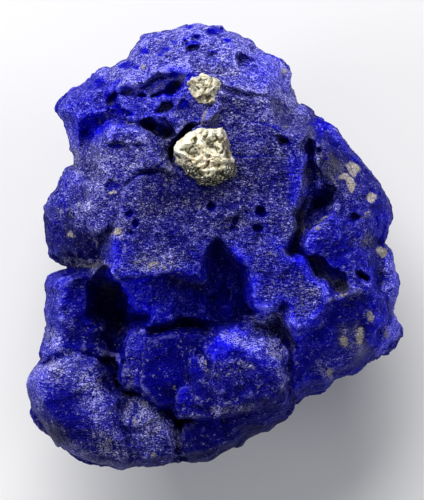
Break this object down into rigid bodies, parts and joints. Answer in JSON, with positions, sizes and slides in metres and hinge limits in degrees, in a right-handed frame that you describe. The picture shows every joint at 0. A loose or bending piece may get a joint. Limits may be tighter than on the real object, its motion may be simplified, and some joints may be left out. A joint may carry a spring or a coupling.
{
  "type": "lapis lazuli specimen",
  "caption": "Rough blue lapis lazuli stone with a cracked, pitted face and pyrite grains, lying on its broken back.",
  "frame": {"origin": "middle of the object's box on the resting plane", "axes": "+Z out of the pitted face, up as it lies; +Y along its longest extent, towards the narrow end; +X across the face"},
  "size_m": [0.0282, 0.0334, 0.0204],
  "materials": {
    "lapis": "rough natural break, part frosted, part glassy",
    "pyrite": "bright natural metal, folded and grooved"
  },
  "bodies": {
    "root": {"lapis_stone": "lapis", "pyrite_large": "pyrite", "pyrite_small": "pyrite"}
  },
  "joints": []
}
